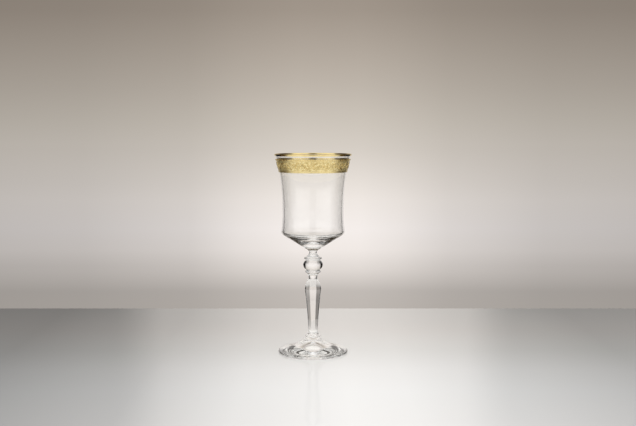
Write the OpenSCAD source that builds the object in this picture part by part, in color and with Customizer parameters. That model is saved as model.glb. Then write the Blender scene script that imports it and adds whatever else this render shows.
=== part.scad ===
// Stemmed white wine glass with a gilded lip and a gilded, etched band.
// Millimetres. Z is up, and the origin is the centre of the foot on the table.
// The glass pieces are fused face to face, and the gold lies on the outside of the bowl.

/* [Whole glass] */

// Height of the glass, from the table to the top of the lip
glass_h = 195; // [185:0.5:210]

/* [Foot] */

// Diameter of the foot
foot_d = 68; // [60:0.5:76]
// Height of the foot, from the table to the collar on it
foot_h = 15.2; // [12:0.2:18]
// Thickness of the foot at its rounded edge
foot_edge_t = 2; // [1.4:0.1:3]
// Width of the flat ring that stands on the table
foot_ring_w = 3.4; // [2:0.2:6]
// Height of the bell-shaped hollow under the foot, at the axis
foot_hollow_h = 7; // [4:0.2:9]
// Width of the bell-shaped hollow at about a third of its height
foot_hollow_w = 21; // [16:0.5:26]
// Rise of the underside from the standing ring to the axis, without the bell
foot_under_h = 0.4; // [0.2:0.1:1]
// Slope of the foot's upper face beside the collar, in degrees
foot_top_slope = 44; // [36:1:52]
// Slope of the foot's upper face beside its edge, in degrees
foot_edge_slope = 7; // [4:1:10]

/* [Base collar] */

// Diameter of the fused joint between the foot and the collar
foot_joint_d = 14; // [13.4:0.2:18]
// Height of the bell-shaped collar
collar_h = 7.4; // [6:0.2:10]
// Height of the ring at the bottom of the collar
collar_ring_h = 1.4; // [1:0.1:2]
// How far the ring stands out from the joint
collar_ring_out = 0.7; // [0.4:0.05:0.9]
// Diameter of the bell where it rises from the ring
collar_bell_d = 13.2; // [12:0.1:13.4]
// How far the top of the collar stands back from the flats of the stem
collar_inset = 0.2; // [0.1:0.05:0.5]

/* [Baluster] */

// Height of the upper part, from the shoulder to the top
crown_h = 9.4; // [7:0.2:12]
// Width across flats at the collar
stem_low_w = 9.4; // [8:0.1:10]
// Width across flats at the shoulder
shoulder_w = 15.9; // [14:0.1:18]
// Width across flats at the top
stem_top_w = 10.4; // [9.6:0.1:11]
// How late the facets swell towards the shoulder, where 1 is a straight taper
stem_swell = 1.5; // [1.2:0.1:2]
// Number of facets
stem_sides = 8; // [8:1:12]
// Width of the rounded-off corner between two facets
arris_w = 0.5; // [0.3:0.1:0.8]

/* [Lower merese] */

// Diameter of the fused joint between the stem and the neck
neck_joint_d = 8.2; // [7:0.1:9]
// Height of the trumpet neck
neck_h = 6.6; // [4:0.2:8]
// Diameter of the neck where it meets the disc
neck_top_d = 12.6; // [11:0.1:13]
// Diameter of the lower disc
lower_disc_d = 15.2; // [14:0.1:17]
// Thickness of the lower disc
lower_disc_t = 2; // [1.5:0.1:3]
// Height of the groove between the lower disc and the knop
lower_groove_h = 1.3; // [0.6:0.1:2]

/* [Knop] */

// Diameter of the knop
knop_d = 19.4; // [17:0.1:22]
// Height of the knop between its two fused joints
knop_h = 9; // [7:0.1:11]
// Diameter of the fused joints above and below the knop
knop_joint_d = 13.2; // [12:0.1:13.8]

/* [Upper merese] */

// Diameter of the upper disc
upper_disc_d = 17.4; // [16:0.1:19]
// Thickness of the upper disc at its edge
upper_disc_t = 1.5; // [1:0.1:2]
// Height of the groove between the knop and the upper disc
upper_groove_h = 1.2; // [0.8:0.1:2]
// Height of the neck above the upper disc
upper_neck_h = 4.2; // [3:0.1:6]

/* [Bowl] */

// Diameter of the neck at the fused joint under the bowl
bowl_neck_d = 7.4; // [6:0.1:9]
// Size of the hollow round between the neck and the cone
neck_round = 2.2; // [1.5:0.1:3]
// Slope of the cone under the bowl, in degrees
cone_slope = 32; // [28:0.5:36]
// Diameter of the bowl at its lower corner
corner_d = 61.4; // [56:0.2:66]
// Size of the round between the cone and the wall
corner_round = 2; // [1.5:0.1:3]
// Height of the waist above the lower corner
waist_rise = 18; // [12:0.5:24]
// Diameter of the waist
waist_d = 59.4; // [52:0.2:60]
// Height of the lip above the waist
lip_rise = 57; // [50:0.5:64]
// Diameter of the lip
lip_d = 75; // [70:0.2:80]
// How late the wall flares towards the lip, where 2 is an even curve
flare_power = 2.3; // [2:0.1:2.8]
// Thickness of the wall at the lip
lip_t = 1.3; // [1:0.1:2]
// Thickness of the wall at the lower corner
base_t = 1.8; // [1.4:0.1:2.6]
// Height of the bowl's inside floor above the fused joint
floor_rise = 13; // [9:0.5:15]
// Size of the round between the inner wall and the floor
inner_round = 1.5; // [1:0.1:3]

/* [Gilding] */

// Thickness of the gold as it is modelled
gold_t = 0.12; // [0.1:0.02:0.3]
// Height of the gold line at the lip
rim_line_h = 0.9; // [0.6:0.1:2.5]
// Clear glass between the lip line and the band
clear_gap = 3; // [1:0.1:5]
// Height of the polished strip at the top of the band
upper_strip_h = 1.6; // [1.2:0.1:2.5]
// Height of the etched field
ground_h = 9.2; // [7.5:0.1:13]
// Height of the polished strip at the bottom of the band
lower_strip_h = 2; // [1:0.1:3]
// Extra thickness of the lower strip
lower_strip_proud = 0.06; // [0:0.02:0.2]
// Diameter of one raised dot
bead_d = 1.15; // [0.6:0.05:1.2]
// Diameter of the top of one raised dot
bead_top_d = 0.6; // [0.2:0.05:0.6]
// Height of one raised dot
bead_h = 0.3; // [0.1:0.05:0.5]
// Number of raised dots around the band
bead_count = 96; // [60:1:110]
// Number of full waves of the scroll around the band
scroll_waves = 12; // [9:1:14]
// Height of the scroll's wave from its middle
scroll_wave_h = 3.1; // [2.2:0.1:3.2]
// Width of the raised scroll line
scroll_w = 0.5; // [0.3:0.05:0.6]
// Height of the raised scroll line
scroll_relief = 0.16; // [0.1:0.02:0.3]

/* [Hidden] */

$fn = 96;

// Degrees in a quarter, half and full turn
quarter_turn = 90;
half_turn = 180;
full_turn = 360;

// Steps along the curves
few_steps = 4;
curve_steps = 10;
wall_steps = 22;
// Steps along one wave of the scroll and along one curl
wave_steps = 24;
curl_steps = 16;
// Place of the bend in the neck above the upper disc, as a share of its run and rise
neck_fullness = 0.35;
// Width of the top of the raised scroll line, as a share of its foot
line_top = 0.5;
// Gap that keeps the raised gold clear of the gold under it
lay_gap = 0.01;

// Bowl: the cone starts where its line meets the neck, and ends at the lower corner
bowl_neck_r = bowl_neck_d / 2;
corner_r = corner_d / 2;
waist_r = waist_d / 2;
lip_r = lip_d / 2;
corner_lean = atan(2 * (corner_r - waist_r) / waist_rise);
turn_r = corner_r + corner_round * sin(corner_lean);
cone_h = (turn_r - bowl_neck_r) * tan(cone_slope);
// Lean of the wall at the lip, and the height of the rounded lip above the end of the wall
lip_lean = atan(flare_power * (lip_r - waist_r) / lip_rise);
lip_round_h = lip_t / 2 * (1 + sin(lip_lean));
bowl_h = neck_round + cone_h + corner_round * cos(corner_lean) + waist_rise + lip_rise + lip_round_h;

// Heights of the joints: the pieces under the bowl are stacked, and the stem's taper takes up the rest
lower_stack_h = neck_h + lower_disc_t + lower_groove_h + knop_h;
upper_stack_h = upper_groove_h + upper_disc_t + upper_neck_h;
taper_h = glass_h - foot_h - collar_h - crown_h - lower_stack_h - upper_stack_h - bowl_h;
collar_z = foot_h;
stem_z = collar_z + collar_h;
shoulder_z = stem_z + taper_h;
neck_z = shoulder_z + crown_h;
lower_disc_z = neck_z + neck_h;
knop_z = lower_disc_z + lower_disc_t + lower_groove_h;
upper_z = knop_z + knop_h;
upper_disc_z = upper_z + upper_groove_h;
bowl_z = upper_disc_z + upper_disc_t + upper_neck_h;

// Heights in the bowl, and the centre of the rounded lip
cone_z = bowl_z + neck_round;
turn_z = cone_z + cone_h;
corner_z = turn_z + corner_round * cos(corner_lean);
waist_z = corner_z + waist_rise;
lip_z = waist_z + lip_rise;
floor_z = bowl_z + floor_rise;
lip_centre = on_wall(lip_z, -lip_t / 2);

// Bands of gold, from the lip downwards
rim_line_z = lip_z - rim_line_h;
band_top_z = rim_line_z - clear_gap;
ground_top_z = band_top_z - upper_strip_h;
ground_low_z = ground_top_z - ground_h;
band_low_z = ground_low_z - lower_strip_h;

// Heights at which the outer wall is drawn: the gold uses the same ones
low_wall = spread(corner_z, band_low_z, wall_steps);
lower_strip_rows = spread(band_low_z, ground_low_z, few_steps);
ground_rows = spread(ground_low_z, ground_top_z, few_steps);
upper_strip_rows = spread(ground_top_z, band_top_z, few_steps);
clear_rows = spread(band_top_z, rim_line_z, few_steps);
rim_rows = spread(rim_line_z, lip_z, few_steps);
wall_rows = concat(low_wall, tail(lower_strip_rows), tail(ground_rows), tail(upper_strip_rows),
                   tail(clear_rows), tail(rim_rows));

// Numbers from a to b in n equal steps
function spread(a, b, n) = [for (i = [0:n]) a + (b - a) * i / n];

// A list without its first item, and a list turned round
function tail(list) = [for (i = [1:1:len(list) - 1]) list[i]];
function turned(list) = [for (i = [len(list) - 1:-1:0]) list[i]];

// Curve from a to c that leaves towards b and arrives from b
function bend(a, b, c, n) =
    [for (i = [0:n]) let (t = i / n) (1 - t) * (1 - t) * a + 2 * t * (1 - t) * b + t * t * c];

// Arc about a centre between two angles
function arc(centre, r, from, to, n) = [for (a = spread(from, to, n)) centre + r * [cos(a), sin(a)]];

// Arc that stands out by rise from the upright line between two heights
function bulge(r, low, high, rise, n) =
    let (half = (high - low) / 2,
         radius = (half * half + rise * rise) / (2 * rise),
         sweep = asin(half / radius),
         reach = rise > half ? half_turn - sweep : sweep)
    arc([r + rise - radius, (low + high) / 2], radius, -reach, reach, n);

// Radius, slope and outward direction of the bowl's outer wall at a height
function wall_part(z) = z >= waist_z ? (z - waist_z) / lip_rise : (waist_z - z) / waist_rise;
function wall_r(z) =
    z >= waist_z ? waist_r + (lip_r - waist_r) * pow(wall_part(z), flare_power)
                 : waist_r + (corner_r - waist_r) * pow(wall_part(z), 2);
function wall_slope(z) =
    z >= waist_z ? (lip_r - waist_r) / lip_rise * flare_power * pow(wall_part(z), flare_power - 1)
                 : -(corner_r - waist_r) / waist_rise * 2 * wall_part(z);
function wall_out(z) = [1, -wall_slope(z)] / norm([1, wall_slope(z)]);

// Point on the outer wall at a height, moved outwards by a distance
function on_wall(z, out = 0) = [wall_r(z), z] + out * wall_out(z);

// Thickness of the wall at a height, and the point on the inner wall across from it
function wall_t(z) = lip_t + (base_t - lip_t) * pow((lip_z - z) / (lip_z - corner_z), 2);
function in_wall(z, in = 0) = on_wall(z, -wall_t(z) - in);

// Point in space on the band, at an angle and a height, raised by a distance
function on_band(angle, z, out) =
    let (p = on_wall(z, gold_t + lay_gap + out)) [p[0] * cos(angle), p[0] * sin(angle), p[1]];

// Half the width across flats of the stem at a height
function stem_r(z) =
    z <= shoulder_z
        ? (stem_low_w + (shoulder_w - stem_low_w) * pow((z - stem_z) / taper_h, stem_swell)) / 2
        : (shoulder_w - (shoulder_w - stem_top_w) * pow((z - shoulder_z) / crown_h, stem_swell)) / 2;

// One ring of the stem: each facet has two points, short of the corners by half an arris
function stem_ring(z) =
    let (r = stem_r(z), half = r * tan(half_turn / stem_sides) - arris_w / 2)
    [for (k = [0:stem_sides - 1], side = [-1, 1])
        let (a = k * full_turn / stem_sides)
        [r * cos(a) - side * half * sin(a), r * sin(a) + side * half * cos(a), z]];

// The scroll is a wave with one curl in the hollow of each half wave
scroll_z = (ground_low_z + ground_top_z) / 2;
scroll_r = wall_r(scroll_z);
half_wave = half_turn / scroll_waves;
// Reach of a curl along and across the band, its drop, where its turn starts and how far it goes,
// and the sizes of its eye and of the lead that joins it to the wave
curl_reach = 0.22 * half_wave;
curl_rise = 0.78 * scroll_wave_h;
curl_drop = 0.2 * scroll_wave_h;
curl_start = 175;
curl_turn = 490;
curl_eye = 0.2;
curl_lead = 0.8;
lead_fade = 9;
function curl_size(t) = curl_eye + (1 - curl_eye) * (1 - t) + curl_lead * exp(-lead_fade * t);

// Points of the wave and of curl k, as an angle and a height
function wave_at(a) = [a, scroll_z + scroll_wave_h * sin(a * scroll_waves)];
function curl_at(k, t) =
    let (up = k % 2 == 0 ? 1 : -1, turn = curl_start - t * curl_turn)
    [(k + 0.5) * half_wave + curl_reach * curl_size(t) * cos(turn),
     scroll_z + up * (curl_rise * curl_size(t) * sin(turn) - curl_drop)];

// Four corners of the raised line at one point of a path, from the points beside it
function line_ring(before, here, after) =
    let (run = [(after[0] - before[0]) * PI / half_turn * scroll_r, after[1] - before[1]],
         across = [-run[1], run[0]] / norm(run) * scroll_w / 2)
    [for (corner = [[-1, 0], [1, 0], [line_top, 1], [-line_top, 1]])
        on_band(here[0] + corner[0] * across[0] / scroll_r * half_turn / PI,
                here[1] + corner[0] * across[1],
                corner[1] * scroll_relief)];

// Skin of a row of rings that each have m points
function ring_skin(rings, m, closed) =
    [for (i = [0:rings - (closed ? 1 : 2)], j = [0:m - 1])
        let (a = i * m + j, b = i * m + (j + 1) % m, up = (i + 1) % rings * m - i * m)
        each [[a, a + up, b + up], [a, b + up, b]]];

// Solid through a row of rings, closed into a loop or capped at both ends
module loft(rings, closed = false) {
    m = len(rings[0]);
    n = len(rings);
    caps = closed ? [] : [[for (j = [0:m - 1]) j], [for (j = [m - 1:-1:0]) (n - 1) * m + j]];
    polyhedron([for (ring = rings) each ring], concat(ring_skin(n, m, closed), caps), 4);
}

// Ring of gold on the outer wall between two heights
module gold_ring(rows, thickness) {
    inner_side = [for (z = rows) on_wall(z)];
    outer_side = [for (z = rows) on_wall(z, thickness)];
    rotate_extrude() polygon(concat(inner_side, turned(outer_side)));
}

// Height of the foot's underside at a radius, and the share of the bell there
function bell_share(r) = exp(-pow(2 * r / foot_hollow_w, 2));
function under_z(r, hollow_r) =
    foot_under_h * (1 - r / hollow_r) + foot_hollow_h * (bell_share(r) - bell_share(hollow_r));

module glass() {
    color([0.82, 0.88, 0.88, 0.5]) children();
}

module polished_gold() {
    color([0.86, 0.68, 0.30]) children();
}

module matt_gold() {
    color([0.76, 0.62, 0.33]) children();
}

module foot() {
    edge_r = foot_edge_t / 2;
    edge_centre = [foot_d / 2 - edge_r, edge_r];
    joint = [foot_joint_d / 2, foot_h];
    edge_top = edge_centre + edge_r * [sin(foot_edge_slope), cos(foot_edge_slope)];
    // The upper face leaves the collar at one slope and meets the edge at the other
    drop = joint[1] - edge_top[1] - (edge_top[0] - joint[0]) * tan(foot_edge_slope);
    meet_run = drop / (tan(foot_top_slope) - tan(foot_edge_slope));
    meet = joint + meet_run * [1, -tan(foot_top_slope)];
    top = bend(joint, meet, edge_top, curve_steps);
    edge = arc(edge_centre, edge_r, quarter_turn - foot_edge_slope, -quarter_turn, curve_steps);
    // Inside the standing ring the underside rises a little, and to a bell under the stem
    hollow_r = edge_centre[0] - foot_ring_w;
    hollow = [for (r = spread(hollow_r, 0, wall_steps)) [r, under_z(r, hollow_r)]];
    glass() rotate_extrude() polygon(concat([[0, foot_h]], top, tail(edge), hollow));
}

module base_collar() {
    ring_top_z = collar_z + collar_ring_h;
    ring = bulge(foot_joint_d / 2, collar_z, ring_top_z, collar_ring_out, curve_steps);
    bell_r = collar_bell_d / 2;
    // The round top stays inside the flats of the stem
    top_r = stem_low_w / 2 - collar_inset;
    bell_bend = [top_r, ring_top_z + (bell_r - top_r) / 2];
    bell = bend([bell_r, ring_top_z], bell_bend, [top_r, stem_z], curve_steps);
    glass() rotate_extrude() polygon(concat([[0, collar_z]], ring, bell, [[0, stem_z]]));
}

module baluster() {
    rows = concat(spread(stem_z, shoulder_z, curve_steps), tail(spread(shoulder_z, neck_z, curve_steps)));
    glass() loft([for (z = rows) stem_ring(z)]);
}

module lower_merese() {
    low_r = neck_joint_d / 2;
    high_r = neck_top_d / 2;
    joint_r = knop_joint_d / 2;
    rim_r = lower_disc_t / 2;
    neck_bend = [low_r, lower_disc_z - (high_r - low_r)];
    neck = bend([low_r, neck_z], neck_bend, [high_r, lower_disc_z], curve_steps);
    rim_centre = [lower_disc_d / 2 - rim_r, lower_disc_z + rim_r];
    rim = arc(rim_centre, rim_r, -quarter_turn, quarter_turn, curve_steps);
    top = [[joint_r, lower_disc_z + lower_disc_t], [joint_r, knop_z], [0, knop_z]];
    glass() rotate_extrude() polygon(concat([[0, neck_z]], neck, rim, top));
}

module knop() {
    joint_r = knop_joint_d / 2;
    side = bulge(joint_r, knop_z, upper_z, knop_d / 2 - joint_r, 2 * curve_steps);
    glass() rotate_extrude() polygon(concat([[0, knop_z]], side, [[0, upper_z]]));
}

module upper_merese() {
    joint_r = knop_joint_d / 2;
    rim_t = upper_disc_t / 2;
    rim_r = upper_disc_d / 2 - rim_t;
    disc_top_z = upper_disc_z + upper_disc_t;
    groove = bend([joint_r, upper_z], [joint_r, upper_disc_z], [rim_r, upper_disc_z], few_steps);
    rim = arc([rim_r, upper_disc_z + rim_t], rim_t, -quarter_turn, quarter_turn, curve_steps);
    neck_run = neck_fullness * (rim_r - bowl_neck_r);
    neck_bend = [bowl_neck_r + neck_run, disc_top_z + upper_neck_h * neck_fullness];
    neck = bend([rim_r, disc_top_z], neck_bend, [bowl_neck_r, bowl_z], curve_steps);
    glass() rotate_extrude()
        polygon(concat([[0, upper_z]], groove, tail(rim), tail(neck), [[0, bowl_z]]));
}

module bowl() {
    uphill = [cos(cone_slope), sin(cone_slope)];
    cone_foot = [bowl_neck_r, cone_z];
    turn = [turn_r, turn_z];
    neck = bend([bowl_neck_r, bowl_z], cone_foot, cone_foot + neck_round * uphill, curve_steps);
    corner = bend(turn - corner_round * uphill, turn, on_wall(corner_z), curve_steps);
    outside = [for (z = wall_rows) on_wall(z)];
    lip = arc(lip_centre, lip_t / 2, -lip_lean, half_turn - lip_lean, curve_steps);
    // The inner corner is where the inner wall meets the line that keeps its distance from the cone
    inner_r = in_wall(corner_z)[0];
    inner_z = cone_z + (inner_r - bowl_neck_r) * tan(cone_slope) + base_t / cos(cone_slope);
    inner_corner = [inner_r, inner_z];
    round_z = inner_z + inner_round;
    inside = [for (z = turned(wall_rows)) if (z > round_z) in_wall(z)];
    // The floor leaves the inner corner along the cone and is level at the axis
    floor_start = inner_corner - inner_round * uphill;
    floor_bend = [inner_r - (inner_z - floor_z) / tan(cone_slope), floor_z];
    inner_turn = bend(in_wall(round_z), inner_corner, floor_start, curve_steps);
    floor = bend(floor_start, floor_bend, [0, floor_z], 2 * curve_steps);
    glass() rotate_extrude()
        polygon(concat([[0, bowl_z]], neck, corner, tail(outside), tail(lip), tail(inside), inner_turn,
                       tail(floor)));
}

module rim_gilding() {
    outer_side = [for (z = rim_rows) on_wall(z, gold_t)];
    outer_lip = arc(lip_centre, lip_t / 2 + gold_t, -lip_lean, half_turn - lip_lean, curve_steps);
    inner_side = [for (z = turned(rim_rows)) in_wall(z, gold_t)];
    glass_inside = [for (z = rim_rows) in_wall(z)];
    glass_lip = arc(lip_centre, lip_t / 2, half_turn - lip_lean, -lip_lean, curve_steps);
    glass_outside = [for (z = turned(rim_rows)) on_wall(z)];
    polished_gold() rotate_extrude()
        polygon(concat(outer_side, tail(outer_lip), tail(inner_side), glass_inside, tail(glass_lip),
                       tail(glass_outside)));
}

module band_upper_strip() {
    polished_gold() gold_ring(upper_strip_rows, gold_t);
}

module band_beading() {
    bead_z = (ground_top_z + band_top_z) / 2;
    seat = on_wall(bead_z, gold_t + lay_gap);
    lean = atan(wall_slope(bead_z));
    polished_gold()
        for (i = [0:bead_count - 1])
            rotate([0, 0, i * full_turn / bead_count])
                translate([seat[0], 0, seat[1]])
                    rotate([0, quarter_turn + lean, 0])
                        cylinder(h = bead_h, d1 = bead_d, d2 = bead_top_d);
}

module band_ground() {
    matt_gold() gold_ring(ground_rows, gold_t);
}

module band_scrollwork() {
    wave_n = scroll_waves * wave_steps;
    wave_step = full_turn / wave_n;
    wave = [for (i = [0:wave_n - 1])
        let (a = i * wave_step) line_ring(wave_at(a - wave_step), wave_at(a), wave_at(a + wave_step))];
    curl_step = 1 / curl_steps;
    polished_gold() {
        loft(wave, closed = true);
        for (k = [0:2 * scroll_waves - 1])
            loft([for (t = spread(0, 1, curl_steps))
                line_ring(curl_at(k, t - curl_step), curl_at(k, t), curl_at(k, t + curl_step))]);
    }
}

module band_lower_strip() {
    polished_gold() gold_ring(lower_strip_rows, gold_t + lower_strip_proud);
}

bowl();
upper_merese();
knop();
lower_merese();
baluster();
base_collar();
foot();
rim_gilding();
band_upper_strip();
band_beading();
band_ground();
band_scrollwork();
band_lower_strip();
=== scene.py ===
import math

import bmesh
import bpy
from mathutils import Matrix, Vector


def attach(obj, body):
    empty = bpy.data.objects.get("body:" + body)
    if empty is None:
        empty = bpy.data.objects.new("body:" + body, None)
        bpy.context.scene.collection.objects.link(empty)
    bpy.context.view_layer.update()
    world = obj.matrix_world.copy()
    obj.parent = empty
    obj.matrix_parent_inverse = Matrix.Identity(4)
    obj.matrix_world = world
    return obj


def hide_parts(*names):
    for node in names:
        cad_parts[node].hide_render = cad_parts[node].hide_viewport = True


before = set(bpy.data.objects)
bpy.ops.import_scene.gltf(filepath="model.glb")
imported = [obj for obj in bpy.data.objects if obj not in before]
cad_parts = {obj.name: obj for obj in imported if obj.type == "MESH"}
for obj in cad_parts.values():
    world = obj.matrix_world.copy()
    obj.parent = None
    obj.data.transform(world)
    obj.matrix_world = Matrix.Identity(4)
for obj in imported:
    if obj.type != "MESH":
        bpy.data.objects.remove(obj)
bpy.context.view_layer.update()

# Stemmed wine glass: pieces of clear glass, fused face to face, with gold on the bowl.
# Outlines are in millimetres, as a radius and a height. Meshes, materials and stage are in metres.

MM = 0.001
TURN = 2 * math.pi
QUARTER = math.pi / 2
# Points closer than the first are merged, and those of one level differ by less than the second
MERGE, LEVEL = 1e-7, 1e-6
# Angles in degrees past which an edge stays sharp: turned glass, flat facets and raised gold
TURNED_CREASE, FACET_CREASE, RELIEF_CREASE = 35, 10, 60

# Sizes of the glass, from the table upwards
GLASS_H = 195.0
FOOT_R, FOOT_H, FOOT_EDGE, FOOT_RING = 34.0, 15.2, 2.0, 3.4
FOOT_HOLLOW, FOOT_HOLLOW_W, FOOT_UNDER = 7.0, 21.0, 0.4
FOOT_TOP_SLOPE, FOOT_EDGE_SLOPE = math.radians(44), math.radians(7)
FOOT_JOINT_R, COLLAR_H, COLLAR_RING_T, COLLAR_RING_OUT, COLLAR_BELL_R = 7.0, 7.4, 1.4, 0.7, 6.6
STEM_SIDES, ARRIS = 8, 0.22
CROWN_H, STEM_LOW, SHOULDER, STEM_TOP, SWELL = 9.4, 4.7, 7.95, 5.2, 1.5
STEM_LOW_JOINT_R, NECK_JOINT_R, NECK_H, NECK_TOP_R = 4.5, 4.1, 6.6, 6.3
LOWER_DISC_R, LOWER_DISC_T, LOWER_GROOVE = 7.6, 2.0, 1.3
KNOP_R, KNOP_H, KNOP_JOINT_R = 9.7, 9.0, 6.6
UPPER_GROOVE, UPPER_DISC_R, UPPER_DISC_T = 1.2, 8.7, 1.5
UPPER_NECK_H, NECK_FULLNESS = 4.2, 0.35
BOWL_NECK_R, NECK_ROUND, CONE_SLOPE = 3.7, 2.2, math.radians(32)
CORNER_R, CORNER_ROUND = 30.7, 2.0
WAIST_RISE, WAIST_R, LIP_RISE, LIP_R, FLARE = 18.0, 29.7, 57.0, 37.5, 2.3
LIP_T, BASE_T, FLOOR_RISE, INNER_ROUND = 1.3, 1.8, 13.0, 1.5
# How far faces may lie outside a fused joint's radius and still belong to it
JOINT_PLAY = 0.01

# Sizes of the gold, from the lip downwards
GOLD_T, RIM_LINE, CLEAR_GAP, UPPER_STRIP, GROUND, LOWER_STRIP = 0.12, 0.9, 3.0, 1.6, 9.2, 2.0
# Depth to which the gold reaches into the glass, so that it shows through the glass from inside
GOLD_IN = 0.03
# Raised line along a strip's edges: place and half width as shares of the strip, and height
EDGE_LINE_AT, EDGE_LINE_HALF, EDGE_LINE_H = 0.12, 0.1, 0.07
BEADS, BEAD_SIZE = 96, (0.55, 0.5, 0.34)
# Scroll: a wave with one curl in each half wave, in a round line that thins out along a curl
WAVES, WAVE_H = 12, 3.1
HALF_WAVE = math.pi / WAVES
LINE_R, LINE_OUT, CURL_LINE, CURL_THINNING = 0.28, 0.02, 0.95, 0.4
CURL_REACH, CURL_RISE, CURL_DROP = 0.22, 0.78, 0.2
CURL_START, CURL_TURN, CURL_EYE, CURL_LEAD, LEAD_FADE = 175, 490, 0.2, 0.8, 9
EYE_SIZE = (0.5, 0.5, 0.36)
# Leaves: place and lean of a spray, then the turn, length and width of each of its leaves
SPRAY_SHIFT, SPRAY_RISE, SPRAY_LEAN = 0.05, 0.9, 0.9
SPRAY = ((0, 2.9, 1.1), (0.75, 2.1, 0.85), (-0.75, 2.1, 0.85))
LEAF_FULLNESS, LEAF_TIP, LEAF_CURVE, LEAF_H, LEAF_FALL = 0.7, 0.1, 0.12, 0.3, 0.6

# Steps along the curves of each piece, and around the turned pieces
FOOT_TOP_N, FOOT_EDGE_N, FOOT_HOLLOW_N = 40, 14, 60
COLLAR_RING_N, COLLAR_BELL_N = 14, 20
TAPER_N, CROWN_N = 64, 24
LOWER_NECK_N, LOWER_DISC_N, KNOP_N = 24, 16, 48
UPPER_GROOVE_N, UPPER_DISC_N, UPPER_NECK_N = 10, 14, 20
ROUND_N, CONE_N, WALL_N, FLOOR_N = 14, 90, 60, 36
RIM_LINE_N, UPPER_STRIP_N, GROUND_N, LOWER_STRIP_N = 8, 24, 16, 30
WAVE_N, CURL_N = 28, 34
AROUND, WIDE_AROUND = 160, 192

# Heights of the joints and of the gold: the stem's taper takes up what the other pieces leave
CORNER_LEAN = math.atan(2 * (CORNER_R - WAIST_R) / WAIST_RISE)
TURN_R = CORNER_R + CORNER_ROUND * math.sin(CORNER_LEAN)
CONE_H = (TURN_R - BOWL_NECK_R) * math.tan(CONE_SLOPE)
LIP_LEAN = math.atan(FLARE * (LIP_R - WAIST_R) / LIP_RISE)
BOWL_H = (NECK_ROUND + CONE_H + CORNER_ROUND * math.cos(CORNER_LEAN) + WAIST_RISE + LIP_RISE
          + LIP_T / 2 * (1 + math.sin(LIP_LEAN)))
TAPER_H = (GLASS_H - FOOT_H - COLLAR_H - CROWN_H - NECK_H - LOWER_DISC_T - LOWER_GROOVE - KNOP_H
           - UPPER_GROOVE - UPPER_DISC_T - UPPER_NECK_H - BOWL_H)
COLLAR_Z = FOOT_H
STEM_Z = COLLAR_Z + COLLAR_H
SHOULDER_Z = STEM_Z + TAPER_H
NECK_Z = SHOULDER_Z + CROWN_H
LOWER_DISC_Z = NECK_Z + NECK_H
KNOP_Z = LOWER_DISC_Z + LOWER_DISC_T + LOWER_GROOVE
UPPER_Z = KNOP_Z + KNOP_H
UPPER_DISC_Z = UPPER_Z + UPPER_GROOVE
BOWL_Z = UPPER_DISC_Z + UPPER_DISC_T + UPPER_NECK_H
CONE_Z = BOWL_Z + NECK_ROUND
TURN_Z = CONE_Z + CONE_H
CORNER_Z = TURN_Z + CORNER_ROUND * math.cos(CORNER_LEAN)
WAIST_Z = CORNER_Z + WAIST_RISE
LIP_Z = WAIST_Z + LIP_RISE
FLOOR_Z = BOWL_Z + FLOOR_RISE
RIM_LINE_Z = LIP_Z - RIM_LINE
BAND_TOP_Z = RIM_LINE_Z - CLEAR_GAP
GROUND_TOP_Z = BAND_TOP_Z - UPPER_STRIP
GROUND_LOW_Z = GROUND_TOP_Z - GROUND
BAND_LOW_Z = GROUND_LOW_Z - LOWER_STRIP
BAND_MID_Z = (GROUND_TOP_Z + GROUND_LOW_Z) / 2


# Curves of the outlines
def spread(a, b, n):
    """Numbers from a to b in n equal steps."""
    return [a + (b - a) * i / n for i in range(n + 1)]


def bend(a, b, c, n):
    """Curve from a to c that leaves towards b and arrives from b."""
    a, b, c = Vector(a), Vector(b), Vector(c)
    return [tuple((1 - t) ** 2 * a + 2 * t * (1 - t) * b + t * t * c) for t in spread(0, 1, n)]


def arc(r, z, radius, start, end, n):
    """Arc about a centre between two angles."""
    return [(r + radius * math.cos(a), z + radius * math.sin(a)) for a in spread(start, end, n)]


def bulge(r, low, high, rise, n):
    """Arc that stands out by rise from the upright line between two heights."""
    half = (high - low) / 2
    radius = (half * half + rise * rise) / (2 * rise)
    reach = math.asin(half / radius)
    return arc(r + rise - radius, (low + high) / 2, radius, -reach, reach, n)


def wall(z, out=0.0):
    """Point on the bowl's outer wall at a height, moved outwards, and the wall's slope there."""
    if z >= WAIST_Z:
        u = (z - WAIST_Z) / LIP_RISE
        r = WAIST_R + (LIP_R - WAIST_R) * u**FLARE
        slope = (LIP_R - WAIST_R) / LIP_RISE * FLARE * u ** (FLARE - 1)
    else:
        u = (WAIST_Z - z) / WAIST_RISE
        r = WAIST_R + (CORNER_R - WAIST_R) * u * u
        slope = -(CORNER_R - WAIST_R) / WAIST_RISE * 2 * u
    k = math.hypot(1, slope)
    return (r + out / k, z - out * slope / k), slope


def outer(z, out=0.0):
    """Point on the bowl's outer wall at a height, moved outwards."""
    return wall(z, out)[0]


def inner(z, into=0.0):
    """Point on the bowl's inner wall across from a height, moved inwards."""
    t = LIP_T + (BASE_T - LIP_T) * ((LIP_Z - z) / (LIP_Z - CORNER_Z)) ** 2
    return outer(z, -t - into)


# Meshes
def finish_mesh(bm, name, mats, crease=TURNED_CREASE):
    """Object made from a bmesh, with smooth faces and sharp edges."""
    bmesh.ops.remove_doubles(bm, verts=bm.verts[:], dist=MERGE)
    bmesh.ops.recalc_face_normals(bm, faces=bm.faces[:])
    me = bpy.data.meshes.new(name)
    bm.to_mesh(me)
    bm.free()
    for m in mats:
        me.materials.append(m)
    me.shade_smooth()
    me.set_sharp_from_angle(angle=math.radians(crease))
    ob = bpy.data.objects.new(name, me)
    bpy.context.collection.objects.link(ob)
    return ob


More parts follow.
